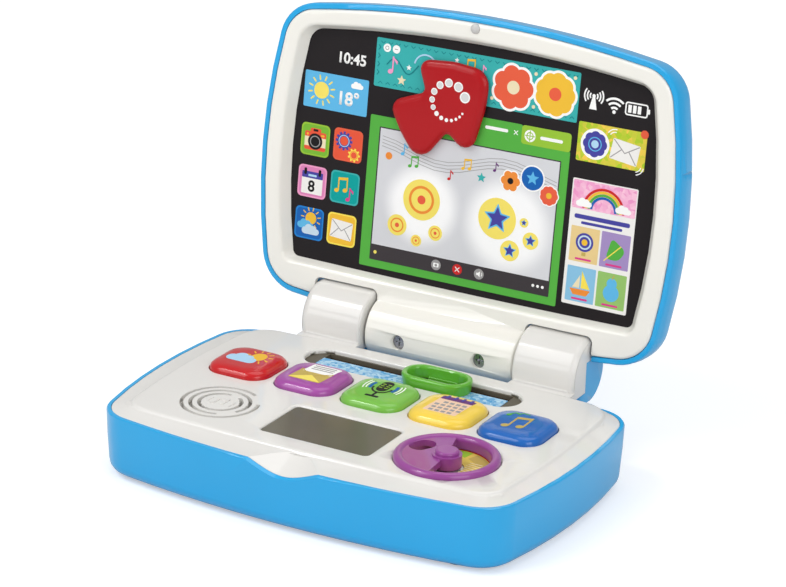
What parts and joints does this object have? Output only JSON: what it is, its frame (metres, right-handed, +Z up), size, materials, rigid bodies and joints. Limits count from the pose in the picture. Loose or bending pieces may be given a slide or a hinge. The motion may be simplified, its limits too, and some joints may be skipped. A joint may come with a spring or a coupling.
{
  "type": "toy laptop computer",
  "caption": "Clam-shell toy laptop with a bowed case, hinged screen lid, coloured press buttons, turning dial, sliding ring, display, speaker grille and a turning arrow.",
  "frame": {"origin": "centre of the open laptop's footprint box, on the surface it stands on", "axes": "+Z up, -Y towards the user, +X to the user's right; the hinge axis runs along X"},
  "size_m": [0.2344, 0.1939, 0.205],
  "materials": {
    "shell_blue": "gloss",
    "deck_white": "gloss",
    "frame_white": "gloss",
    "foot_rubber": "plain",
    "steel": "plain",
    "cell_wrap": "satin",
    "board_green": "satin",
    "membrane": "plain",
    "speaker_black": "satin",
    "display_grey": "gloss",
    "display_back": "satin",
    "track_white": "satin",
    "channel_dark": "satin",
    "print_blue": "satin",
    "disc_yellow": "satin",
    "button_red": "gloss",
    "button_purple": "gloss",
    "button_green": "gloss",
    "button_yellow": "gloss",
    "button_blue": "gloss",
    "ring_green": "gloss",
    "carriage_black": "satin",
    "dial_purple": "gloss",
    "screen_black": "gloss",
    "diffuser": "satin",
    "bush_nylon": "satin",
    "lens_clear": "gloss",
    "arrow_red": "gloss"
  },
  "bodies": {
    "base": {"lower_case": "shell_blue", "upper_deck": "deck_white", "battery_door": "shell_blue", "battery_door_screw": "steel", "batteries": "cell_wrap", "battery_contacts": "steel", "feet": "foot_rubber", "case_screws": "steel", "hinge_pins": "steel", "main_board": "board_green", "button_membrane": "membrane", "speaker_driver": "speaker_black", "display_window": "display_grey", "display_module": "display_back", "slider_track": "track_white", "slider_channel": "channel_dark", "track_print": "print_blue", "dial_disc": "disc_yellow"},
    "lid": {"lid_front_frame": "frame_white", "lid_rear_shell": "shell_blue", "screen_panel": "screen_black", "light_diffuser": "diffuser", "light_board": "board_green", "barrel_screws": "steel", "hinge_bushes": "bush_nylon", "camera_lens": "lens_clear", "arrow_pivot": "bush_nylon"},
    "button_red": {"button_red": "button_red"},
    "button_purple": {"button_purple": "button_purple"},
    "button_green": {"button_green": "button_green"},
    "button_yellow": {"button_yellow": "button_yellow"},
    "button_blue": {"button_blue": "button_blue"},
    "slider": {"slider_ring": "ring_green", "slider_carriage": "carriage_black"},
    "dial": {"dial_wheel": "dial_purple", "dial_retainer": "steel"},
    "arrow": {"cursor_arrow": "arrow_red"}
  },
  "joints": [
    {"name": "lid_hinge", "type": "hinge", "parent": "base", "child": "lid", "pos_m": [0, 0.06836, 0.04025], "axis": [1, 0, 0], "range_deg": [0, 96.2]},
    {"name": "press_red", "type": "slide", "parent": "base", "child": "button_red", "axis": [0, 0, -1], "range_m": [0, 0.002], "stiffness_N_per_m": 400},
    {"name": "press_purple", "type": "slide", "parent": "base", "child": "button_purple", "axis": [0, 0, -1], "range_m": [0, 0.002], "stiffness_N_per_m": 400},
    {"name": "press_green", "type": "slide", "parent": "base", "child": "button_green", "axis": [0, 0, -1], "range_m": [0, 0.002], "stiffness_N_per_m": 400},
    {"name": "press_yellow", "type": "slide", "parent": "base", "child": "button_yellow", "axis": [0, 0, -1], "range_m": [0, 0.002], "stiffness_N_per_m": 400},
    {"name": "press_blue", "type": "slide", "parent": "base", "child": "button_blue", "axis": [0, 0, -1], "range_m": [0, 0.002], "stiffness_N_per_m": 400},
    {"name": "slider_slide", "type": "slide", "parent": "base", "child": "slider", "axis": [1, 0, 0], "range_m": [-0.0535, 0.0255]},
    {"name": "dial_turn", "type": "hinge", "parent": "base", "child": "dial", "pos_m": [0.0615, -0.05064, 0.0354], "axis": [0, 0, 1], "continuous": true},
    {"name": "arrow_turn", "type": "hinge", "parent": "lid", "child": "arrow", "pos_m": [-0.0089, 0.08292, 0.16139], "axis": [0, -0.9942, 0.108], "range_deg": [-60, 60]}
  ]
}
